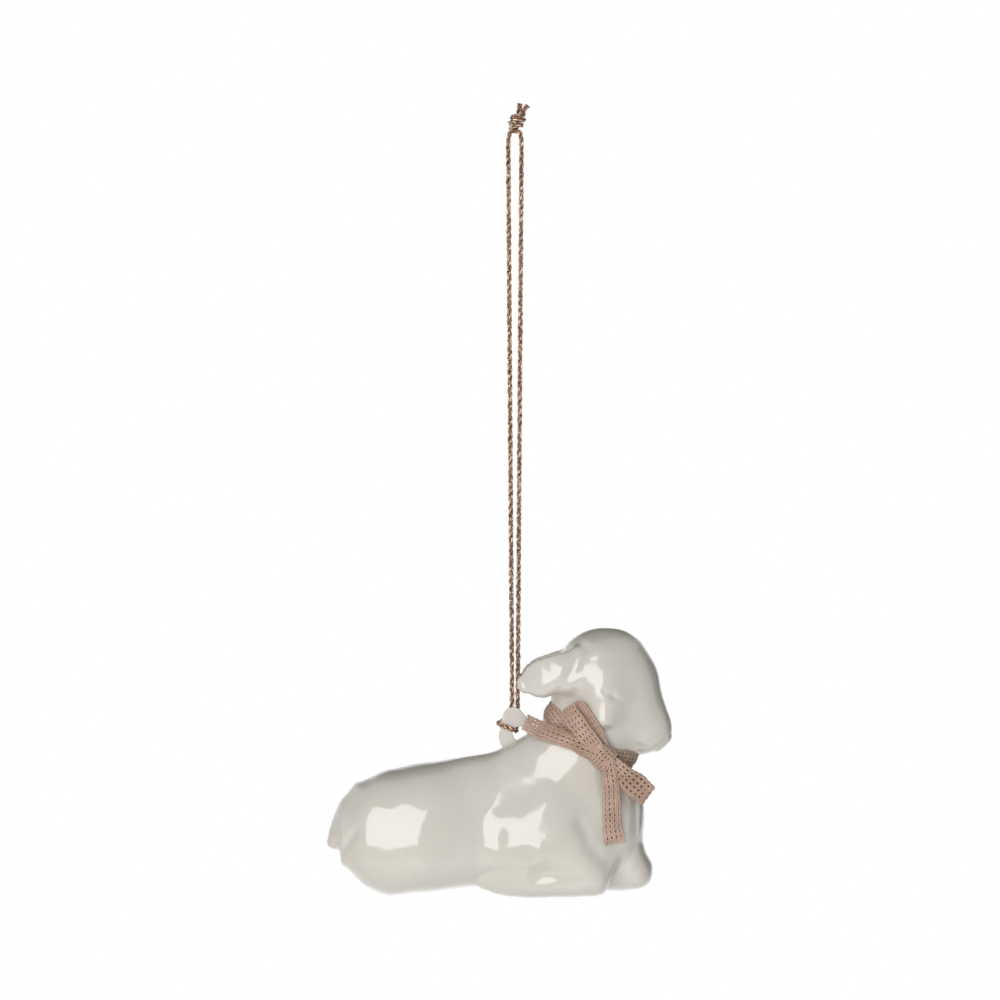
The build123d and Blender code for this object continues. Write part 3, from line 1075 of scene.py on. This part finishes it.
def loop_grid(inner, outer):
    """The surface of a flattened loop: out, round its fold and back in front."""
    there, back = bow_rows(inner), bow_rows(outer)
    end = (np.array(there[-1]) + np.array(back[-1])) / 2
    way = np.array(there[-1]) - np.array(there[-2])
    way = way[:3] * (1, 0, 1)
    way /= np.linalg.norm(way)
    fold = end.copy()
    fold[:3] += way * fold_reach_mm * mm
    rows = there + [tuple(fold)] + back[::-1]
    line = through(rows, 2 * grid_rows)
    out_way = []
    for stations in (there, back):
        run = np.gradient(np.array(stations)[:, :3], axis=0) * (1, 0, 1)
        out_way.append(unit(run))
    ways = np.concatenate([out_way[0], [way], out_way[1][::-1]])
    heading = through(np.concatenate([np.array(rows)[:, :3], ways], axis=1), 2 * grid_rows)[:, 3:]
    heading = unit(heading)
    across = square_to(heading)
    share = np.linspace(-0.5, 0.5, grid_columns)
    grid = line[:, None, :3] + across[:, None] * (line[:, 3:4] * share)[..., None]
    for i in range(len(grid)):
        for j in range(grid_columns):
            grid[i, j, 1] = laid(*grid[i, j])
    return grid


neck_band_centre_shares = (0.759, 0.608)
neck_band_width = 3.9 * mm
band_sag = 2.6 * mm
band_reach = 11.5 * mm
band_curl = 0.7 * mm
band_stretch_rounds = 30
band_easing_rounds = 4


def band_grid():
    """The surface of the band round the neck, which the bow draws down in front."""
    centre = np.array((along(neck_band_centre_shares[0]), 0, up(neck_band_centre_shares[1])))
    axis = np.array(neck_way) / np.linalg.norm(neck_way)
    level = np.array((axis[2], 0, -axis[0]))
    steps = 3 * grid_rows
    grid = np.empty((steps + 1, grid_columns, 3))
    for i in range(steps):
        turn = 2 * pi * i / steps
        out = cos(turn) * level + sin(turn) * np.array((0, 1, 0))
        sag = band_sag * max(-sin(turn), 0) ** 2
        for j in range(grid_columns):
            rise = neck_band_width * (j / (grid_columns - 1) - 0.5) - sag
            foot = centre + axis * rise
            hit = lamb_skin.ray_cast(Vector(foot), Vector(out), ray_reach)[0]
            reach = (np.array(hit) - foot) @ out if hit else band_reach
            grid[i, j] = (min(reach, band_reach), rise, turn)
    reach = grid[:steps, :, 0]
    for _ in range(band_stretch_rounds):
        reach = np.maximum(reach, (np.roll(reach, 1, 0) + np.roll(reach, -1, 0)) / 2)
    for _ in range(band_easing_rounds):
        reach = (np.roll(reach, 1, 0) + 2 * reach + np.roll(reach, -1, 0)) / 4
    share = np.linspace(-1, 1, grid_columns)
    reach = np.maximum(reach, reach.mean(axis=1, keepdims=True)) - band_curl * share ** 2
    turns = grid[:steps, :, 2]
    out = np.cos(turns)[..., None] * level + np.sin(turns)[..., None] * (0, 1, 0)
    points = centre + axis * grid[:steps, :, 1:2] + out * (reach + ribbon_rest)[..., None]
    return np.concatenate([points, points[:1]])


# The bow's stations: a column and a row of the photograph's frame, a depth in
# millimetres and a width in pixels
long_tail_stations = [
    (604, 755, -10.2, 14),
    (592, 750, -10.2, 14),
    (574, 742.5, -9.8, 14.5),
    (557, 736, -9.0, 14.5),
    (541.5, 730, -6.6, 15),
    (532, 725.5, -4.3, 15),
    (525, 722, -2.6, 14.5),
]
down_tail_stations = [
    (607, 760, -10.4, 13),
    (609.5, 772, -9.9, 13.5),
    (611.3, 790, -9.4, 14.5),
    (612.0, 810, -9.3, 15.5),
    (612.8, 828, -9.3, 17),
    (615.0, 843, -9.1, 21),
]
upper_loop_inner = [
    (604, 750, -9.4, 11),
    (598, 736, -9.4, 13),
    (589, 721, -9.2, 14),
    (580, 708, -9.0, 13),
]
upper_loop_outer = [
    (600, 751, -10.9, 12),
    (588, 737, -11.2, 16),
    (576, 722, -11.0, 18),
    (569, 709, -10.2, 16),
]
lower_loop_inner = [
    (611, 762, -8.9, 12),
    (624, 776, -8.0, 19),
    (636, 787, -7.4, 23),
    (645, 793.5, -6.9, 22),
]
lower_loop_outer = [
    (612, 762, -10.2, 12),
    (624, 775, -9.8, 19),
    (636, 785, -9.2, 24),
    (645, 792.5, -8.2, 22),
]
knot_low = (594, 765)
knot_high = (612, 748)
knot_depth = -11.2
knot_foot_depth = -8.6
knot_width = 3.5 * mm
knot_crown = 0.55 * mm
knot_shoulder = 0.6 * mm
shoulder_share = 0.20
down_tail_share = 0.86
long_tail_share = 0.80


def knot_grid():
    """The surface of the turn of ribbon that holds the bow together."""
    low = bow_place(*knot_low, knot_foot_depth)
    high = bow_place(*knot_high, knot_foot_depth)
    column = (knot_low[0] + knot_high[0]) / 2
    row = (knot_low[1] + knot_high[1]) / 2
    middle = bow_place(column, row, knot_depth)
    near_low = (1 - shoulder_share) * low + shoulder_share * high
    near_high = shoulder_share * low + (1 - shoulder_share) * high
    near_low[1] = near_high[1] = 0.5 * (middle[1] + low[1]) - knot_shoulder
    line = through([low, near_low, middle, near_high, high], grid_rows)
    run = high - low
    across = np.array((-run[2], 0, run[0]))
    across /= np.linalg.norm(across)
    share = np.linspace(-1, 1, grid_columns)
    grid = line[:, None] + across * (share * knot_width / 2)[None, :, None]
    grid[:, :, 1] -= knot_crown * (1 - share ** 2)
    return grid


def make_bow():
    """The ribbon round the neck and its bow."""
    knit("ribbon_band", band_grid(), "neck_band")
    knit("ribbon_tail_down", tail_grid(down_tail_stations, down_tail_share), "bow_tail_down")
    knit("ribbon_tail_long", tail_grid(long_tail_stations, long_tail_share), "bow_tail_long")
    knit("ribbon_loop_lower", loop_grid(lower_loop_inner, lower_loop_outer), "bow_loop_lower")
    knit("ribbon_loop_upper", loop_grid(upper_loop_inner, upper_loop_outer), "bow_loop_upper")
    knit("ribbon_knot", knot_grid(), "bow_knot")


make_bow()


def solder_material():
    """Dull silver solder inside the seam."""
    material, nodes, links, shader = new_material("solder")
    point = object_point(nodes)
    cloud = noise(nodes, links, point, 300, 3.0)
    tint(nodes, links, shader, cloud, [(0.3, (150, 150, 148)), (0.7, (186, 186, 184))])
    put(shader, {"Metallic": 1.0, "Roughness": 0.45})
    bump(nodes, links, noise(nodes, links, point, 900, 3.0), shader, 0.4, 0.05 * mm)
    return material


def dress(node, material):
    """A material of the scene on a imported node."""
    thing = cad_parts[node]
    thing.data.materials.clear()
    thing.data.materials.append(material)


dress("hanging_ring", enamel)
dress("seam_solder", solder_material())


# The set, in metres. Lamps: a name, a place, a width, a height, a power, and whether
# reflections show them
set_middle = (0, 0, -0.15)
lamps = [
    ("key", (-0.28, -0.72, 0.03), 0.58, 0.58, 4.1, True),
    ("low", (0.05, -0.60, -0.36), 0.40, 0.25, 1.0, False),
    ("back", (0.25, 0.75, 0.10), 0.50, 0.50, 3.0, False),
]
# Dark cards: a name, a place and a size
cards = [
    ("card_above", (0.02, 0.30, 0.27), 0.85),
    ("card_right", (0.47, 0.25, -0.05), 0.60),
]
ambient = 0.30
floor_level = -0.50
floor_size = 3.0
floor_glow = 0.75


def aim(thing, place):
    """The thing at a place, facing the middle of the set."""
    way = Vector(set_middle) - Vector(place)
    thing.location = place
    thing.rotation_euler = way.to_track_quat("-Z", "Y").to_euler()


def make_lamps():
    """A soft box in front to the left, a low one for the underside, and one behind."""
    for name, place, width, height, power, reflected in lamps:
        data = bpy.data.lights.new(name, "AREA")
        data.shape = "RECTANGLE"
        data.size = width
        data.size_y = height
        data.energy = power
        lamp = add_object(name, data)
        aim(lamp, place)
        lamp.visible_glossy = reflected


def seen_share(nodes, links):
    """One for what is seen straight, in a reflection or through glass, and zero for light."""
    path = nodes.new("ShaderNodeLightPath")
    value = path.outputs["Is Camera Ray"]
    for name in ("Is Glossy Ray", "Is Transmission Ray"):
        node = nodes.new("ShaderNodeMath")
        node.operation = "MAXIMUM"
        links.new(value, node.inputs[0])
        links.new(path.outputs[name], node.inputs[1])
        value = node.outputs["Value"]
    return value


def make_world():
    """An even surround: white to look at, and dimmer as light."""
    world = bpy.data.worlds.new("surround")
    world.use_nodes = True
    nodes, links = world.node_tree.nodes, world.node_tree.links
    strength = nodes.new("ShaderNodeMapRange")
    put(strength, {"To Min": ambient, "To Max": 1.0})
    links.new(seen_share(nodes, links), strength.inputs["Value"])
    back = nodes["Background"]
    put(back, {"Color": (1, 1, 1, 1)})
    links.new(strength.outputs["Result"], back.inputs["Strength"])
    bpy.context.scene.world = world


def square(name, size, material):
    """A flat square about its own middle."""
    half = size / 2
    corners = [(-half, -half, 0), (half, -half, 0), (half, half, 0), (-half, half, 0)]
    return quad_mesh(name, np.array(corners), np.array([(0, 1, 2, 3)]), [material])


def make_card(name, place, size):
    """A dark card that fades at its edges, which only reflections and shade show."""
    material, nodes, links, shader = new_material(name)
    put(shader, {"Base Color": (0.05, 0.05, 0.05, 1), "Roughness": 1.0})
    mapping = nodes.new("ShaderNodeMapping")
    put(mapping, {"Scale": (2 / size, 2 / size, 1)})
    links.new(object_point(nodes), mapping.inputs["Vector"])
    fall = nodes.new("ShaderNodeTexGradient")
    fall.gradient_type = "SPHERICAL"
    links.new(mapping.outputs["Vector"], fall.inputs["Vector"])
    share = nodes.new("ShaderNodeMapRange")
    put(share, {"From Max": 0.5})
    links.new(fall.outputs["Fac"], share.inputs["Value"])
    links.new(share.outputs["Result"], shader.inputs["Alpha"])
    card = square(name, size, material)
    aim(card, place)
    card.visible_camera = False


def make_floor():
    """A pale floor under the lamb, seen as nearly white, which keeps its shadow."""
    material, nodes, links, shader = new_material("pale_floor")
    put(shader, {"Base Color": (0.9, 0.9, 0.9, 1), "Emission Color": (1, 1, 1, 1)})
    put(shader, {"Roughness": 1.0, "Specular IOR Level": 0.0})
    strength = nodes.new("ShaderNodeMath")
    strength.operation = "MULTIPLY"
    strength.inputs[1].default_value = floor_glow
    links.new(seen_share(nodes, links), strength.inputs[0])
    links.new(strength.outputs["Value"], shader.inputs["Emission Strength"])
    ground = square("floor", floor_size, material)
    ground.location.z = floor_level


make_floor()
make_world()
make_lamps()
for card in cards:
    make_card(*card)
bpy.context.scene.view_settings.view_transform = "Standard"
